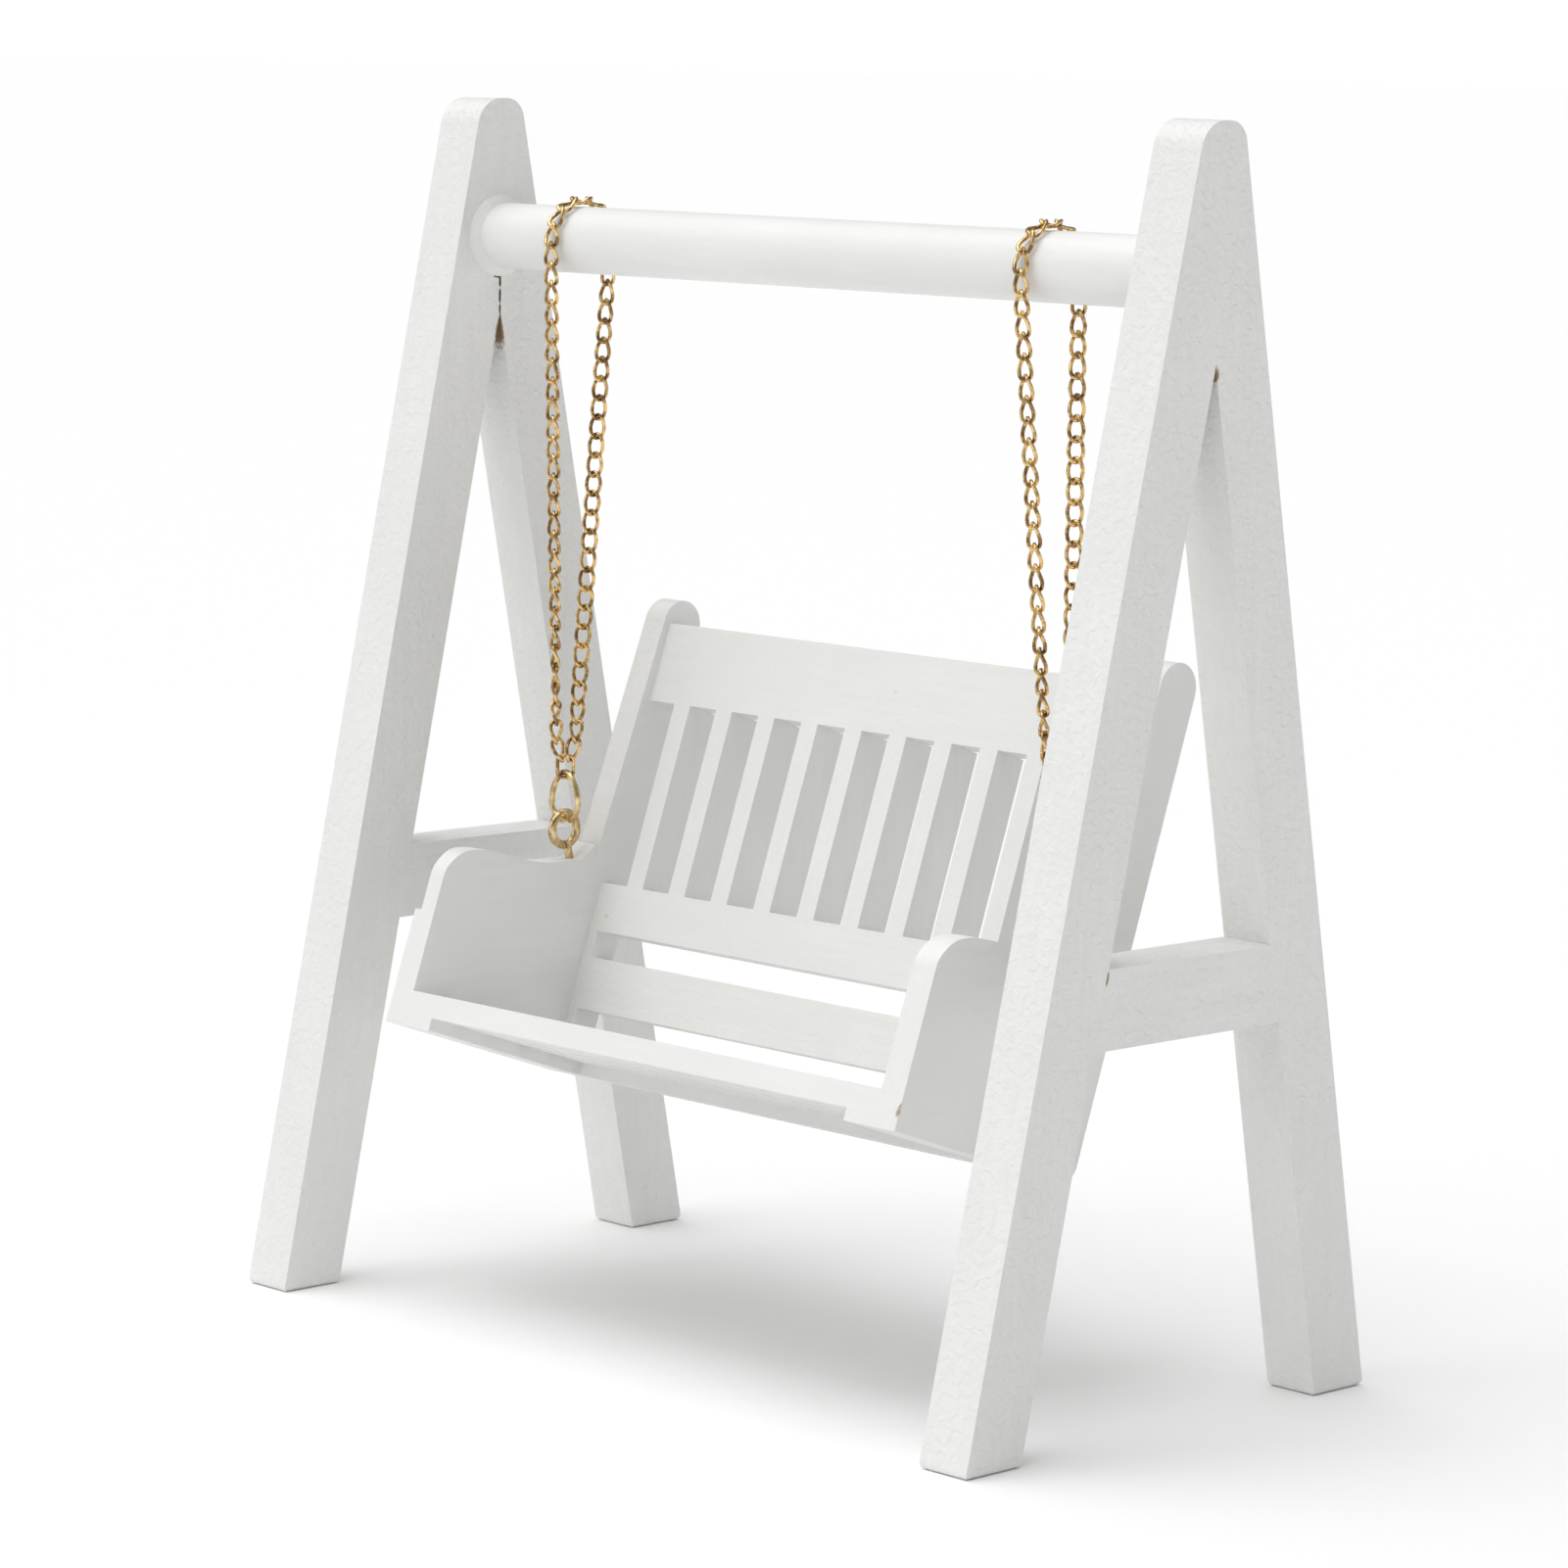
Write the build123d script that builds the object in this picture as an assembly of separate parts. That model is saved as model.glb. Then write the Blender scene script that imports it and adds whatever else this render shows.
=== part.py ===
"""Miniature porch swing: a slatted bench hung on curb chains inside a free-standing A-frame.

Millimetres. +X runs along the bench to its right-hand end, +Y to its back and +Z up. The origin is
on the ground, at the centre of the footprint.
"""
import math
import os

from build123d import *

# Stand: two A-frames of square sticks and a round bar
frame_gap = 118.6       # between the A-frames, at the ground
stick_t = 7.65          # leg and rail thickness along X
stand_h = 160.0
foot_y = 36.87          # outer edge of a foot, from the middle plane
foot_w = 9.59           # foot width along Y
apex_half = 3.5         # half the width of the flat top
apex_r = (3.0, 4.2)      # top corners of a rear and a front leg
foot_r = 0.8            # worn lower edges of the feet
frame_lean = {-1: 0.35, 1: 0.68}    # degrees the left and right A-frames lean outwards
rail_z = (49.3, 59.2)
bar_r = 4.45
bar_z = 141.46
bar_half = 64.47        # half length, with the blind ends 3.5 deep in the legs
bead_w = 1.1            # glue bead round each end of the bar

# Bench, in its own frame: Y along the seat towards the back, Z up the backrest
bench_tilt = 18.7       # degrees the whole bench leans back as it hangs
bench_shift = -0.29      # along Y, so that the bench balances under its hangers
panel_in = 43.4         # inner face of a side panel
panel_t = 3.8
panel_low = 26.65
arm_front = -40.25
post_rear = -6.2
post_top = (-9.6, 90.2)     # centre of the round top of a back post
post_r = 3.4
heel_r = 2.5
back_face = -12.0
back_t = 4.2
top_rail_z = (78.9, 89.9)
lower_rail_z = (46.4, 53.05)
mid_slat_z = (35.55, 42.7)
slat_w = 3.1
slat_t = 5.2            # the upright slats stand proud of the rails at the rear
slat_pitch = 8.19
slat_count = 10
ledger_t = 1.5          # upright strips inside the panels
seat_top = 31.4
seat_under = 28.3
seat_slat_w = 5.0
seat_slats = 5
seat_ledger_w = 4.9
brad_r = 0.3

# Chain, joint links, hanger rings and screw eyes
wire_r = 0.25
link_half_w = 0.915     # centreline half width of a link
link_twist = 45.0       # degrees from the middle of a link to either end
link_pitch = 2.6        # nominal
link_play = 0.06        # gap between linked wires
wrap_r = 5.4            # chain centreline round the bar
wrap_x = {-1: 44.0, 1: 41.2}        # left and right chain, where they cross the bar
hang_x = 45.3
last_extra = 0.08       # a strand's last link is longer than the rest by this at each end
last_turn = -81.0       # its middle, turned from the plane along the bench
last_foot = 0.42        # its lower wire, from the middle of the joint link
knee = (0.45, 1.35)     # X and Y offsets of its upper end from the hanger
joint_half_w = 1.08
joint_half_h = 1.5
joint_corner = 0.8
joint_slack = 0.12      # extra room under the joint link's upper wire
joint_turn = 52.0       # plane of the joint link, from the plane along the bench
ring_wire_r = 0.42
ring_half_w = 2.55
ring_low = 62.845       # wire centre where the ring carries the eye
ring_high = 69.45       # wire centre where the ring hangs in the joint link
eye_wire_r = 0.6
eye_r = 2.2
eye_z = 61.7
eye_slit = 0.14         # gap where the eye's wire comes back to its shank
shank_r = 0.55
shank_tilt = 14.0
shank_len = 7.9


def block(xs, ys, zs):
    """Box from three (low, high) pairs."""
    size = [hi - lo for lo, hi in (xs, ys, zs)]
    middle = [(hi + lo) / 2 for lo, hi in (xs, ys, zs)]
    return Pos(*middle) * Box(*size)


def plate(outline, x_low, thickness):
    """Flat board: a closed (Y, Z) outline made solid along X."""
    return Pos(x_low, 0, 0) * extrude(Plane.YZ * make_face(outline), thickness)


def flip_x(shape):
    return mirror(shape, about=Plane.YZ)


def flip_y(shape):
    return mirror(shape, about=Plane.XZ)


def leaned(shape, lean):
    """Right-hand A-frame piece, leaned outwards about the inner edge of its foot."""
    hinge = Pos(frame_gap / 2, 0, 0)
    return hinge * Rot(0, lean, 0) * hinge.inverse() * shape


def bar_rod(half):
    return Pos(0, 0, bar_z) * Rot(0, 90, 0) * Cylinder(bar_r, 2 * half)


def make_leg(top_r, lean):
    """Right rear leg, its outer top corner rounded to the radius given."""
    slope = (foot_y - apex_half) / stand_h
    inner = foot_y - foot_w
    meet = inner / slope
    below = 2.0
    outline = Polyline(
        (foot_y + below * slope, -below),
        (apex_half, stand_h),
        (0, stand_h),
        (0, meet),
        (inner + below * slope, -below),
        close=True,
    )
    leg = plate(outline, frame_gap / 2, stick_t)
    top_edge = leg.edges().filter_by(Axis.X).sort_by(Axis.Z)[-2:].sort_by(Axis.Y)[-1]
    leg = leaned(fillet(top_edge, top_r), lean)
    leg -= block((0, 100), (-60, 60), (-10, 0))
    leg -= bar_rod(bar_half)
    return fillet(leg.faces().sort_by(Axis.Z)[0].edges(), foot_r)


def make_cross_rail(lean):
    """Right cross rail, its ends cut to the inner edges of the legs."""
    slope = (foot_y - apex_half) / stand_h
    half = [foot_y - foot_w - slope * z for z in rail_z]
    outline = Polyline(
        (-half[0], rail_z[0]),
        (half[0], rail_z[0]),
        (half[1], rail_z[1]),
        (-half[1], rail_z[1]),
        close=True,
    )
    return leaned(plate(outline, frame_gap / 2, stick_t), lean)


def make_bead(legs, lean):
    """Bead of glue and paint between the bar and the right-hand apex."""
    face_x = frame_gap / 2 + bar_z * math.tan(math.radians(lean))
    outer = bar_r + bead_w
    start = (face_x - bead_w, bar_r)
    rim = (face_x, outer)
    bulge = (face_x - 0.42 * bead_w, bar_r + 0.68 * bead_w)
    profile = make_face([
        Line((face_x + 0.3, bar_r), start),
        ThreePointArc(start, bulge, rim),
        Line(rim, (face_x + 0.3, outer)),
        Line((face_x + 0.3, outer), (face_x + 0.3, bar_r)),
    ])
    ring = revolve(Plane.XZ * profile, Axis.X)
    ring = Pos(0, 0, bar_z) * ring
    for leg in legs:
        ring -= leg
    return ring


def make_panel():
    """Right side panel: arm, seat side and back post sawn from one board."""
    top_x, top_z = post_top
    corner = (arm_front, panel_low)
    arm_low = (arm_front, 47.0)
    post_foot = (-14.1, 61.0)
    front_top = (top_x - post_r, top_z)
    rear_top = (top_x + post_r, top_z)
    heel_up = (post_rear, panel_low + heel_r)
    heel_in = (post_rear - heel_r, panel_low)
    lean = (front_top[0] - post_foot[0], front_top[1] - post_foot[1])
    arm = Spline(
        arm_low, (-39.5, 49.2), (-38.2, 50.7), (-35.0, 52.0), (-28.0, 52.6), (-22.0, 53.4),
        (-18.0, 54.7), (-16.3, 55.6), (-14.75, 57.6), post_foot,
        tangents=[(0, 1), lean],
    )
    outline = [
        Line(corner, arm_low),
        arm,
        Line(post_foot, front_top),
        ThreePointArc(front_top, (top_x, top_z + post_r), rear_top),
        Line(rear_top, heel_up),
        RadiusArc(heel_up, heel_in, heel_r),
        Line(heel_in, corner),
    ]
    return plate(outline, panel_in, panel_t)


def arm_relief():
    """Shallow wedge planed off the outer face of the left arm, deepest at its front edge."""
    outer = -panel_in - panel_t
    wedge = Polyline(
        (outer - 0.5, arm_front - 0.5),
        (outer + 1.2, arm_front - 0.5),
        (outer + 1.2, arm_front),
        (outer, arm_front + 7.25),
        (outer - 0.5, arm_front + 7.25),
        close=True,
    )
    return Pos(0, 0, 42.2) * extrude(make_face(wedge), 20)


def rod_between(start, end, radius):
    """Round rod from one point to another."""
    run = Vector(*end) - Vector(*start)
    return Plane(origin=start, z_dir=run) * Cylinder(
        radius, run.length, align=(Align.CENTER, Align.CENTER, Align.MIN))


def brad_rods():
    """Two brads toe-nailed through the lower back rail into the panels, one in the top rail."""
    rods = []
    for side in (-1, 1):
        above = (side * 39.97, back_face - 1, 48.6)
        rod = rod_between(above, (side * 43.2, back_face + 2.9, 48.6), brad_r)
        rods.append(rod & block((-50, 50), (back_face, 0), (40, 60)))
    rods.append(rod_between((1.7, back_face, 84.7), (1.7, back_face + 2.6, 84.7), brad_r))
    return rods


def make_bench():
    """Every wooden piece of the bench and the brads, in the bench's own frame."""
    wide = (-panel_in, panel_in)
    narrow = (-panel_in + ledger_t, panel_in - ledger_t)
    depth = (back_face, back_face + back_t)
    ledger = block((panel_in - ledger_t, panel_in), depth, (seat_top, lower_rail_z[1]))
    seat_ledger = block(
        (panel_in - seat_ledger_w, panel_in), (arm_front, back_face), (panel_low, seat_under))
    panel = make_panel()
    pieces = {
        "right_side_panel": panel,
        "left_side_panel": flip_x(panel) - arm_relief(),
        "back_top_rail": block(wide, depth, top_rail_z),
        "back_lower_rail": block(narrow, depth, lower_rail_z),
        "back_mid_slat": block(narrow, depth, mid_slat_z),
        "left_back_ledger": flip_x(ledger),
        "right_back_ledger": ledger,
        "rear_seat_rail": block(wide, depth, (panel_low, seat_top)),
        "left_seat_ledger": flip_x(seat_ledger),
        "right_seat_ledger": seat_ledger,
    }
    for i in range(slat_count):
        x = slat_pitch * (i - (slat_count - 1) / 2)
        pieces[f"back_slat_{i + 1}"] = block(
            (x - slat_w / 2, x + slat_w / 2), (back_face, back_face + slat_t),
            (lower_rail_z[1], top_rail_z[0]))
    step = (back_face - arm_front - seat_slat_w) / (seat_slats - 1)
    for i in range(seat_slats):
        y = arm_front + i * step
        pieces[f"seat_slat_{i + 1}"] = block(wide, (y, y + seat_slat_w), (seat_under, seat_top))
    rods = brad_rods()
    for name in ("back_top_rail", "back_lower_rail", "left_back_ledger", "right_back_ledger"):
        for rod in rods:
            pieces[name] -= rod
    pieces["back_brads"] = Compound(rods)
    return pieces


def link_point(t, half_h):
    """Centreline point and heading of a twisted link, from its angle round the loop."""
    u = link_half_w * math.cos(t)
    du = -link_half_w * math.sin(t)
    twist = -math.radians(link_twist) * math.sin(t)
    dtwist = -math.radians(link_twist) * math.cos(t)
    c = math.cos(twist)
    s = math.sin(twist)
    point = Vector(u * c, u * s, half_h * math.sin(t))
    heading = Vector(du * c - u * s * dtwist, du * s + u * c * dtwist, half_h * math.cos(t))
    return point, heading.normalized()


def bend(start, heading, end):
    """Wire bent along the arc that leaves start along heading and reaches end."""
    chord = end - start
    inward = (chord - heading * chord.dot(heading)).normalized()
    radius = chord.dot(chord) / (2 * chord.dot(inward))
    turn = 2 * math.degrees(math.atan2(chord.dot(inward), chord.dot(heading)))
    axis = Axis(start + inward * radius, heading.cross(inward))
    return revolve(Plane(origin=start, z_dir=heading) * Circle(wire_r), axis, turn)


def make_link(half_h):
    """Curb link: an oval of round wire twisted a quarter turn, drawn as pairs of smooth arcs."""
    link = None
    for i in range(4):
        p0, t0 = link_point(i * math.pi / 2, half_h)
        p1, t1 = link_point((i + 1) * math.pi / 2, half_h)
        run = p1 - p0
        s = run.dot(t0 + t1)
        k = 2 * (1 - t0.dot(t1))
        d = (math.sqrt(s * s + k * run.dot(run)) - s) / k
        knee0 = p0 + t0 * d
        knee1 = p1 - t1 * d
        middle = (knee0 + knee1) / 2
        across = (knee1 - knee0).normalized()
        for piece in (bend(p0, t0, middle), bend(middle, across, p1)):
            link = piece if link is None else link + piece
    return link.solid()


def make_loop(path, radius):
    """Round wire along a closed flat path."""
    return sweep(Plane(origin=path @ 0, z_dir=path % 0) * Circle(radius), path=path).solid()


def link_between(shape, low, high, turn):
    """A link placed from one node of the chain to the next, turned about that line."""
    along = (high - low).normalized()
    across = (Vector(1, 0, 0) - along * along.X).normalized()
    angle = math.radians(turn)
    width = across * math.cos(angle) + along.cross(across) * math.sin(angle)
    return Plane(origin=(low + high) / 2, x_dir=width, z_dir=along).location * shape


def joint_low():
    """Height of the joint link's lower wire, under the top of the hanger ring."""
    return ring_high - ring_wire_r - wire_r - link_play


def chain_foot(side):
    """Lower and upper node of the front strand's last link."""
    half_play = wire_r + link_play / 2
    reach = link_pitch + half_play
    off = last_foot * math.sqrt(0.5)
    top = joint_low() + 2 * joint_half_h
    wire = Vector(side * hang_x - off, -off, top - 2 * half_play - joint_slack)
    dx = off - knee[0]
    dy = off - knee[1]
    rise = math.sqrt(reach ** 2 - dx ** 2 - dy ** 2)
    upper = wire + Vector(dx, dy, rise)
    return wire + (upper - wire).normalized() * half_play, upper


def opposite(point, side):
    """The same point of the other strand: half a turn about the hanger's upright axis."""
    return Vector(2 * side * hang_x - point.X, -point.Y, point.Z)


def make_chain(side):
    """Links of one chain, sorted into the front strand, the part over the bar and the rear strand."""
    low_node, high_node = chain_foot(side)
    dy = -high_node.Y
    dz = bar_z - high_node.Z
    reach = math.hypot(dy, dz)
    strand = math.sqrt(reach ** 2 - wrap_r ** 2)
    splay = math.asin(wrap_r / reach) - math.atan2(dy, dz)
    tangent = Vector(
        side * wrap_x[side], high_node.Y - strand * math.sin(splay), high_node.Z + strand * math.cos(splay))
    arc = wrap_r * (math.pi + 2 * splay)
    total = 2 * strand + arc
    count = round(total / link_pitch)
    pitch = total / count

    def node(distance):
        """Point on the chain, measured from the top of the front strand's last link."""
        if distance < strand:
            return high_node + (tangent - high_node) * (distance / strand)
        if distance > strand + arc:
            foot = opposite(high_node, side)
            top = Vector(tangent.X, -tangent.Y, tangent.Z)
            return foot + (top - foot) * ((total - distance) / strand)
        angle = (distance - strand) / wrap_r - splay
        return Vector(side * wrap_x[side], -wrap_r * math.cos(angle), bar_z + wrap_r * math.sin(angle))

    link = make_link(pitch / 2 + wire_r + link_play / 2)
    last = make_link(link_pitch / 2 + wire_r + link_play / 2 + last_extra)
    runs = {"front_chain": [], "chain_over_bar": [], "rear_chain": []}
    runs["front_chain"].append(link_between(last, low_node, high_node, last_turn))
    for i in range(count):
        distance = (i + 0.5) * pitch
        if distance < strand:
            name = "front_chain"
            turn = -106 * math.exp(-(i + 1) / 4)
        elif distance > strand + arc:
            name = "rear_chain"
            fall = (distance - strand - arc) / strand
            turn = -45 * min(1, fall / 0.45) - 61 * math.exp(-(count - i) / 3.5)
        else:
            name = "chain_over_bar"
            turn = 0
        runs[name].append(link_between(link, node(i * pitch), node((i + 1) * pitch), turn))
    runs["rear_chain"].append(link_between(
        last, opposite(high_node, side), opposite(low_node, side), last_turn))
    return {name: Compound(links) for name, links in runs.items()}


def make_joint_link(side):
    """Flat oval link that gathers both strands."""
    turn = math.radians(joint_turn)
    plane = Plane(
        origin=(side * hang_x, 0, joint_low() + joint_half_h),
        x_dir=(math.cos(turn), math.sin(turn), 0),
        z_dir=(math.sin(turn), -math.cos(turn), 0),
    )
    outline = RectangleRounded(2 * joint_half_w, 2 * joint_half_h, joint_corner)
    return make_loop((plane * outline).wire(), wire_r)


def make_ring(side):
    """Hanger ring: a pear-shaped loop, narrower at the top, in the plane along the bench."""
    half_h = (ring_high - ring_low) / 2
    points = []
    for i in range(16):
        t = 2 * math.pi * i / 16
        x = ring_half_w * math.cos(t) * (1 - 0.22 * math.sin(t))
        points.append((side * hang_x + x, 0, ring_low + half_h + half_h * math.sin(t)))
    return make_loop(Wire([Spline(*points, periodic=True)]), ring_wire_r)


def make_eye(side):
    """Screw eye: a loop across the bench, slit where its end meets the shank, and the shank."""
    loop = Pos(side * hang_x, 0, eye_z) * Rot(0, 90, 0) * Torus(eye_r, eye_wire_r)
    tilt = math.radians(shank_tilt)
    drop = Vector(0, math.sin(tilt), -math.cos(tilt))
    start = Vector(side * hang_x, 0, eye_z) + drop * eye_r
    tip = start + drop * (shank_len - 1)
    neck = Plane(origin=start, x_dir=(1, 0, 0), z_dir=drop)
    loop -= neck * Pos(0, shank_r + eye_slit, 0) * Box(3, eye_slit, 2.4)
    shank = rod_between(tuple(start), tuple(tip), shank_r)
    shank += Plane(origin=tip, z_dir=drop) * Cone(
        shank_r, 0.1, 1.0, align=(Align.CENTER, Align.CENTER, Align.MIN))
    return loop + shank, shank


def main():
    os.makedirs("parts", exist_ok=True)
    pieces = {"top_bar": bar_rod(bar_half)}
    for side, word in ((-1, "left"), (1, "right")):
        lean = frame_lean[side]
        rear_leg, front_leg = (make_leg(top_r, lean) for top_r in apex_r)
        front_leg = flip_y(front_leg)
        frame = {
            "rear_leg": rear_leg,
            "front_leg": front_leg,
            "cross_rail": make_cross_rail(lean),
            "bar_bead": make_bead((rear_leg, front_leg), lean),
        }
        for name, piece in frame.items():
            pieces[f"{word}_{name}"] = flip_x(piece) if side < 0 else piece
    place = Pos(0, bench_shift, 0) * Rot(-bench_tilt, 0, 0)
    for name, piece in make_bench().items():
        pieces[name] = place * piece
    for side, word in ((-1, "left"), (1, "right")):
        for name, piece in make_chain(side).items():
            pieces[f"{word}_{name}"] = piece
        pieces[f"{word}_joint_link"] = make_joint_link(side)
        eye, shank = make_eye(side)
        pieces[f"{word}_hanger_ring"] = make_ring(side)
        pieces[f"{word}_screw_eye"] = eye
        pieces[f"{word}_side_panel"] -= shank
    for name, piece in pieces.items():
        solids = piece.solids()
        export_step(solids[0] if len(solids) == 1 else Compound(solids), f"parts/{name}.step")


main()
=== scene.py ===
"""Looks for the miniature porch swing: softened painted wood, brass chain, studio floor and light."""

import math

import bmesh
import bpy
from mathutils import Matrix, Vector
from mathutils.bvhtree import BVHTree

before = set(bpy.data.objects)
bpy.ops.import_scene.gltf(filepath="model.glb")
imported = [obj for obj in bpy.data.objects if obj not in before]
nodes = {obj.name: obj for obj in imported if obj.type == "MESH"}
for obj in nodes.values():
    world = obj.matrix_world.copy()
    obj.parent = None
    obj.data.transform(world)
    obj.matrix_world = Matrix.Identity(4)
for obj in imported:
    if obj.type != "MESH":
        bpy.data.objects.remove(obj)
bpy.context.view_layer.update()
MM = 0.001


# ---------------------------------------------------------------- shader helpers

class Tree:
    """Short way to wire shader nodes."""

    def __init__(self, name):
        self.material = bpy.data.materials.new(name)
        self.material.use_nodes = True
        self.tree = self.material.node_tree
        self.tree.nodes.clear()
        self.out = self.tree.nodes.new("ShaderNodeOutputMaterial")
        self.bsdf = self.tree.nodes.new("ShaderNodeBsdfPrincipled")
        self.tree.links.new(self.bsdf.outputs[0], self.out.inputs[0])

    def add(self, kind, **values):
        node = self.tree.nodes.new(kind)
        for key, value in values.items():
            setattr(node, key, value)
        return node

    def link(self, a, b):
        self.tree.links.new(a, b)

    def coords(self, scale=(1, 1, 1)):
        place = self.add("ShaderNodeTexCoord")
        stretch = self.add("ShaderNodeMapping")
        stretch.inputs["Scale"].default_value = scale
        self.link(place.outputs["Object"], stretch.inputs["Vector"])
        return stretch.outputs[0]

    def noise(self, vector, scale, detail=4, rough=0.5, distortion=0.0):
        n = self.add("ShaderNodeTexNoise")
        n.inputs["Scale"].default_value = scale
        n.inputs["Detail"].default_value = detail
        n.inputs["Roughness"].default_value = rough
        n.inputs["Distortion"].default_value = distortion
        self.link(vector, n.inputs["Vector"])
        return n.outputs["Fac"]

    def ramp(self, fac, stops):
        r = self.add("ShaderNodeValToRGB")
        els = r.color_ramp.elements
        while len(els) < len(stops):
            els.new(0.5)
        for el, (pos, col) in zip(els, stops):
            el.position = pos
            el.color = (*col, 1)
        self.link(fac, r.inputs[0])
        return r.outputs[0]

    def math(self, op, a, b):
        m = self.add("ShaderNodeMath", operation=op)
        for i, v in enumerate((a, b)):
            if isinstance(v, (int, float)):
                m.inputs[i].default_value = v
            else:
                self.link(v, m.inputs[i])
        return m.outputs[0]

    def mix(self, fac, a, b):
        m = self.add("ShaderNodeMix", data_type="RGBA")
        for socket, v in ((m.inputs[0], fac), (m.inputs[6], a), (m.inputs[7], b)):
            if isinstance(v, (int, float)):
                socket.default_value = v
            elif isinstance(v, tuple):
                socket.default_value = (*v, 1)
            else:
                self.link(v, socket)
        return m.outputs[2]

    def spot(self, centre, radii, lean=0.0):
        """Mask of an uneven oval spot: centre and radii in mm, leaned about X in degrees."""
        local = self.add("ShaderNodeMapping", vector_type="TEXTURE")
        local.inputs["Location"].default_value = [v * MM for v in centre]
        local.inputs["Rotation"].default_value = (math.radians(lean), 0, 0)
        local.inputs["Scale"].default_value = [v * MM for v in radii]
        coords = self.add("ShaderNodeTexCoord")
        self.link(coords.outputs["Object"], local.inputs["Vector"])
        length = self.add("ShaderNodeVectorMath", operation="LENGTH")
        self.link(local.outputs[0], length.inputs[0])
        ragged = self.math("MULTIPLY", self.noise(coords.outputs["Object"], 1400, 3), 1.1)
        edge = self.math("ADD", length.outputs["Value"], ragged)
        return self.ramp(self.math("MULTIPLY", edge, 0.5), [(0.62, (1, 1, 1)), (0.76, (0, 0, 0))])

    def bump(self, height, strength, distance, normal=None):
        b = self.add("ShaderNodeBump")
        b.inputs["Strength"].default_value = strength
        b.inputs["Distance"].default_value = distance
        self.link(height, b.inputs["Height"])
        if normal is not None:
            self.link(normal, b.inputs["Normal"])
        return b.outputs[0]


# Near black: the cracks along the left seam, and also a painted shadow line under the top bar
CRACK_AND_SHADOW = (0.055, 0.035, 0.02)
STAIN = (0.30, 0.20, 0.11)
BARE_WOOD = (0.42, 0.34, 0.25)
LEG_SLOPE = 11.8        # degrees off upright, seen from the side
BENCH_LEAN = 18.7
# Flaws in the paint, and one painted shadow line under the top bar's left end: centre and radii in
# mm, lean about X in degrees, colour
LEFT_CRACK_AND_SHADOW = (
    ((-59.5, 0, 135.2), (3, 0.26, 1.0), 0, CRACK_AND_SHADOW),
    ((-59.5, 0, 133.2), (3, 0.24, 1.3), 0, CRACK_AND_SHADOW),
    ((-59.5, 0, 131.4), (3, 0.2, 0.9), 0, CRACK_AND_SHADOW),
    # Painted shadow: the dark line under the top bar's end on the left legs' inner face; the three
    # marks above are the seam crack
    ((-59.5, -0.4, 136.0), (3, 1.0, 0.3), 0, CRACK_AND_SHADOW),
)
FLAWS_AND_SHADOW = {
    "left_front_leg": (*LEFT_CRACK_AND_SHADOW, ((-61, -0.42, 128.8), (2.5, 0.3, 2.8), -LEG_SLOPE, STAIN)),
    "left_rear_leg": (*LEFT_CRACK_AND_SHADOW, ((-61, 0.42, 128.8), (2.5, 0.3, 2.8), LEG_SLOPE, STAIN)),
    "right_rear_leg": (((66.5, 0, 129.6), (4.5, 0.8, 1.6), 0, STAIN),),
    "right_front_leg": (((67, -15.1, 58.0), (3, 0.22, 1.3), -LEG_SLOPE, STAIN),),
    "right_cross_rail": (((67, -15.1, 58.0), (3, 0.22, 1.3), -LEG_SLOPE, STAIN),),
    "right_side_panel": (((47.3, -29.3, 40.7), (0.8, 0.5, 1.5), -BENCH_LEAN, BARE_WOOD),),
}


def paint_material(name, stretch, leathery=0.0, flaws_and_shadow=()):
    """Hand-brushed white paint over wood: streaks along the board, orange peel, faint stains."""
    t = Tree(name)
    along = t.coords(stretch)
    plain = t.coords()
    streak = t.noise(along, 900, 5, 0.55)
    blotch = t.noise(plain, 55, 3, 0.5)
    peel = t.noise(plain, 1500, 3, 0.5)
    fleck = t.noise(plain, 420, 2, 0.5)
    tone = t.ramp(blotch, [(0.3, (0.80, 0.80, 0.785)), (0.7, (0.845, 0.845, 0.835))])
    tone = t.mix(t.ramp(streak, [(0.35, (0, 0, 0)), (0.75, (1, 1, 1))]), tone, (0.80, 0.80, 0.78))
    stain = t.ramp(fleck, [(0.70, (0, 0, 0)), (0.80, (1, 1, 1))])
    tone = t.mix(t.math("MULTIPLY", stain, 0.05), tone, (0.52, 0.47, 0.38))
    # Listed marks: paint flaws, and on the left legs a painted shadow line under the top bar
    for centre, radii, lean, colour in flaws_and_shadow:
        tone = t.mix(t.spot(centre, radii, lean), tone, colour)
    t.link(tone, t.bsdf.inputs["Base Color"])
    rough = t.math("ADD", t.math("MULTIPLY", streak, 0.16), 0.34)
    t.link(rough, t.bsdf.inputs["Roughness"])
    height = t.math("ADD", t.math("MULTIPLY", streak, 0.6), t.math("MULTIPLY", peel, 0.4))
    normal = t.bump(height, 0.35, 0.00012)
    normal = t.bump(blotch, 0.25, 0.0006, normal)
    if leathery:
        lumps = t.noise(plain, 1000, 2, 0.45, 0.6)
        normal = t.bump(lumps, leathery, 0.0005, normal)
    t.link(normal, t.bsdf.inputs["Normal"])
    t.bsdf.inputs["Specular IOR Level"].default_value = 0.4
    return t.material


def brass_material(name, tint, dark):
    """Gold-coloured brass with brown tarnish in patches and fine drawing marks."""
    t = Tree(name)
    plain = t.coords()
    patch = t.noise(plain, 800, 4, 0.6)
    fine = t.noise(plain, 6000, 3, 0.6)
    colour = t.mix(t.ramp(patch, [(0.42, (0, 0, 0)), (0.6, (1, 1, 1))]), tint, dark)
    t.link(colour, t.bsdf.inputs["Base Color"])
    t.bsdf.inputs["Metallic"].default_value = 1.0
    t.link(t.math("ADD", t.math("MULTIPLY", patch, 0.25), 0.1), t.bsdf.inputs["Roughness"])
    t.link(t.bump(fine, 0.25, 0.00003), t.bsdf.inputs["Normal"])
    return t.material


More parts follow.
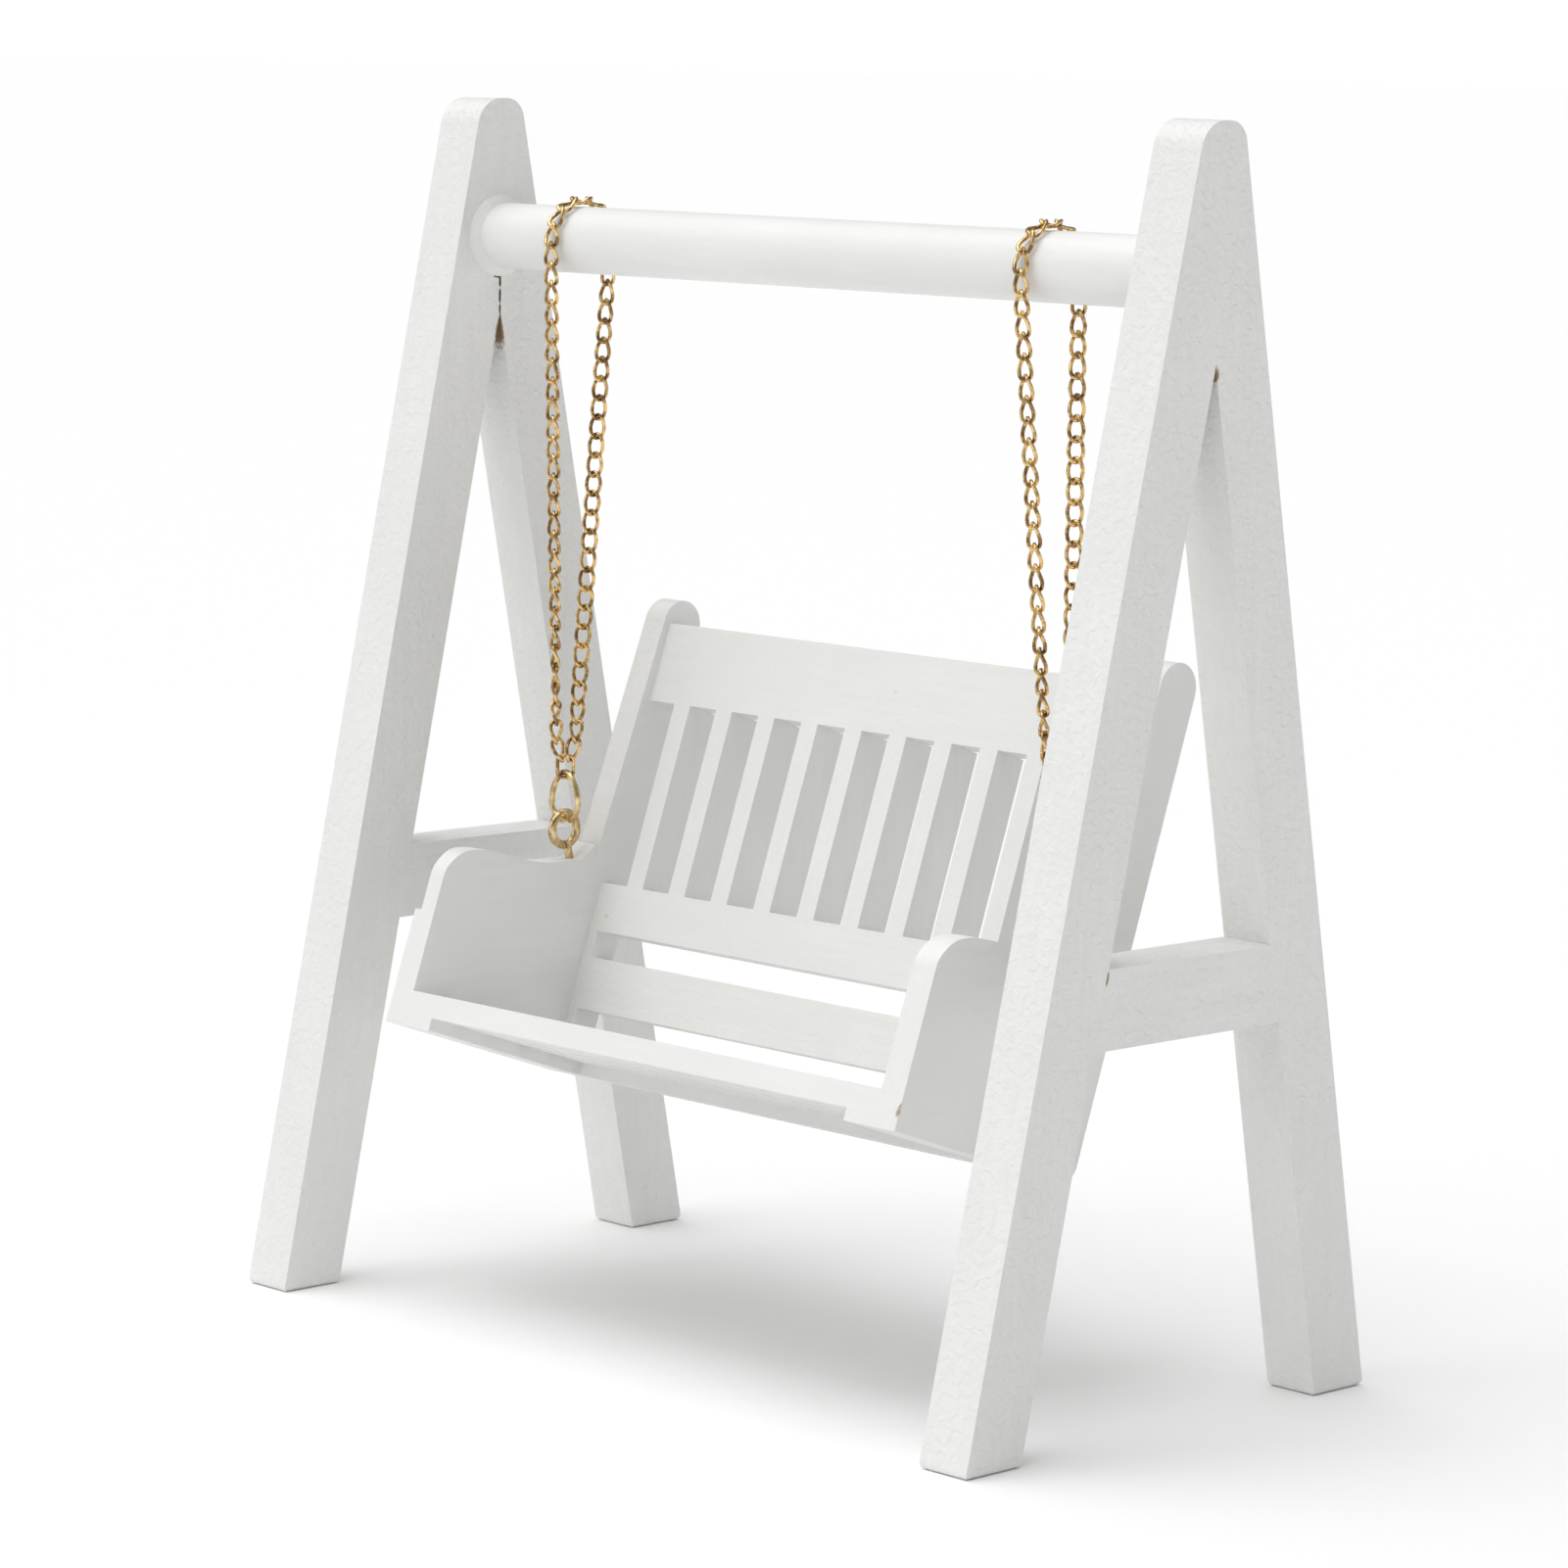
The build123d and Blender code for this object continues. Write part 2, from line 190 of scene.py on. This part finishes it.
def nail_material():
    """Nail heads under a thin, slightly yellowed coat of the same paint."""
    t = Tree("painted_nail")
    mottle = t.noise(t.coords(), 2500, 3)
    tone = t.ramp(mottle, [(0.35, (0.70, 0.67, 0.60)), (0.65, (0.80, 0.79, 0.76))])
    t.link(tone, t.bsdf.inputs["Base Color"])
    t.bsdf.inputs["Roughness"].default_value = 0.5
    t.link(t.bump(mottle, 0.3, 0.0001), t.bsdf.inputs["Normal"])
    return t.material


STRETCH = {"x": (0.06, 1, 1), "y": (1, 0.06, 1), "z": (1, 1, 0.06)}
BRASS = brass_material("brass_chain", (0.88, 0.62, 0.27), (0.27, 0.15, 0.055))
RING_BRASS = brass_material("brass_ring", (0.86, 0.69, 0.40), (0.50, 0.34, 0.16))
NAIL = nail_material()
PAINTS = {}


def set_material(obj, material):
    obj.data.materials.clear()
    obj.data.materials.append(material)


def grain_of(name):
    if name.endswith("_leg") or name.startswith("back_slat") or name.endswith("back_ledger"):
        return "z"
    if "side_panel" in name or "cross_rail" in name or "seat_ledger" in name:
        return "y"
    return "x"


def paint_for(name):
    """Paint shared by all pieces of one grain, or a piece's own when it carries flaws or a painted
    shadow line.
    """
    grain = grain_of(name)
    leathery = 0.6 if name.endswith(("_leg", "cross_rail")) else 0.12
    flaws_and_shadow = FLAWS_AND_SHADOW.get(name, ())
    key = f"paint_{name}" if flaws_and_shadow else f"paint_{grain}_{leathery}"
    if key not in PAINTS:
        PAINTS[key] = paint_material(key, STRETCH[grain], leathery, flaws_and_shadow)
    return PAINTS[key]


METAL = ("chain", "joint_link", "ring", "screw_eye")
# Widths in mm of the rounded edges, by a word in the piece's name
EDGE = {"leg": 0.55, "cross_rail": 0.45, "side_panel": 0.7, "seat_slat_1": 0.6, "top_rail": 0.45}
PLAIN_EDGE = 0.3
TOUCH = 0.03 * MM
SHARP = math.radians(40)


def is_metal(name):
    return any(word in name for word in METAL)


def surface(obj):
    """Search tree of a piece's faces."""
    mesh = bmesh.new()
    mesh.from_mesh(obj.data)
    tree = BVHTree.FromBMesh(mesh)
    mesh.free()
    return tree


SURFACES = {
    name: surface(obj)
    for name, obj in nodes.items()
    if not is_metal(name) and name != "back_brads"
}


def soften(name, obj):
    """Round the open edges of a board and leave its butt joints tight."""
    mesh = bmesh.new()
    mesh.from_mesh(obj.data)
    open_edges = []
    for edge in mesh.edges:
        bent = edge.calc_face_angle(0.0) > SHARP
        middle = (edge.verts[0].co + edge.verts[1].co) / 2
        joined = bent and any(
            tree.find_nearest(middle, TOUCH)[0] is not None
            for other, tree in SURFACES.items() if other != name
        )
        open_edges.append(1.0 if bent and not joined else 0.0)
    mesh.free()
    weights = obj.data.attributes.new("bevel_weight_edge", "FLOAT", "EDGE")
    weights.data.foreach_set("value", open_edges)
    bevel = obj.modifiers.new("soft edges", "BEVEL")
    bevel.width = next((w for key, w in EDGE.items() if key in name), PLAIN_EDGE) * MM
    bevel.segments = 4
    bevel.limit_method = "WEIGHT"
    bevel.harden_normals = True


for name, obj in nodes.items():
    for poly in obj.data.polygons:
        poly.use_smooth = True
    if is_metal(name):
        big = "hanger_ring" in name or "eye" in name
        set_material(obj, RING_BRASS if big else BRASS)
        obj.data.set_sharp_from_angle(angle=math.radians(50))
    elif name == "back_brads":
        set_material(obj, NAIL)
        obj.data.set_sharp_from_angle(angle=math.radians(50))
    else:
        set_material(obj, paint_for(name))
        if name != "top_bar" and "bead" not in name:
            soften(name, obj)


# ---------------------------------------------------------------- floor, light and camera

FLOOR_HALF = 150.0      # metres
HORIZON = 1.05          # brightness of the pale band round the horizon
SKY = 0.27
OVERHEAD = 2.45
KEY = 0.3
YAW, PITCH, ROLL = 0.7893, 0.1331, 0.0222
CAMERA_AT = (0.487487, -0.486785, 0.165030)
SENSOR = 36
LENS = 122.956


def sun(name, towards, strength, angle):
    """Very soft light from far away in the direction given."""
    data = bpy.data.lights.new(name, "SUN")
    data.energy = strength
    data.angle = math.radians(angle)
    obj = bpy.data.objects.new(name, data)
    bpy.context.collection.objects.link(obj)
    obj.rotation_euler = Vector(towards).to_track_quat("Z", "Y").to_euler()


def studio():
    mesh = bpy.data.meshes.new("floor")
    half = FLOOR_HALF
    corners = [(-half, -half, 0), (half, -half, 0), (half, half, 0), (-half, half, 0)]
    mesh.from_pydata(corners, [], [(0, 1, 2, 3)])
    floor = bpy.data.objects.new("floor", mesh)
    bpy.context.collection.objects.link(floor)
    t = Tree("floor_paper")
    t.bsdf.inputs["Base Color"].default_value = (0.93, 0.93, 0.93, 1)
    t.bsdf.inputs["Roughness"].default_value = 0.9
    t.bsdf.inputs["Specular IOR Level"].default_value = 0.1
    set_material(floor, t.material)
    world = bpy.data.worlds.new("studio")
    bpy.context.scene.world = world
    world.use_nodes = True
    tree = world.node_tree
    direction = tree.nodes.new("ShaderNodeTexCoord")
    split = tree.nodes.new("ShaderNodeSeparateXYZ")
    ramp = tree.nodes.new("ShaderNodeValToRGB")
    tree.links.new(direction.outputs["Generated"], split.inputs[0])
    height = tree.nodes.new("ShaderNodeMath")
    height.operation = "ABSOLUTE"
    tree.links.new(split.outputs[2], height.inputs[0])
    tree.links.new(height.outputs[0], ramp.inputs[0])
    ramp.color_ramp.elements[0].position = 0.05
    ramp.color_ramp.elements[0].color = (HORIZON, HORIZON, HORIZON, 1)
    ramp.color_ramp.elements[1].position = 0.22
    ramp.color_ramp.elements[1].color = (SKY, SKY, SKY, 1)
    tree.links.new(ramp.outputs[0], tree.nodes["Background"].inputs[0])
    sun("overhead", (-0.15, -0.2, 1), OVERHEAD, 70)
    sun("key", (-0.35, -1, 0.6), KEY, 35)
    bpy.context.scene.view_settings.view_transform = "Standard"


def camera():
    """Camera at the photograph's angle: yaw, pitch and a slight roll, with a long lens."""
    level = math.cos(PITCH)
    forward = Vector((-math.sin(YAW) * level, math.cos(YAW) * level, -math.sin(PITCH)))
    right = Vector((math.cos(YAW), math.sin(YAW), 0))
    up = right.cross(forward)
    x_axis = right * math.cos(ROLL) + up * math.sin(ROLL)
    y_axis = up * math.cos(ROLL) - right * math.sin(ROLL)
    turn = Matrix((x_axis, y_axis, -forward)).transposed()
    data = bpy.data.cameras.new("camera")
    data.sensor_width = SENSOR
    data.lens = LENS
    data.clip_start = 0.01
    obj = bpy.data.objects.new("camera", data)
    bpy.context.collection.objects.link(obj)
    obj.matrix_world = Matrix.Translation(CAMERA_AT) @ turn.to_4x4()
    bpy.context.scene.camera = obj


studio()
camera()
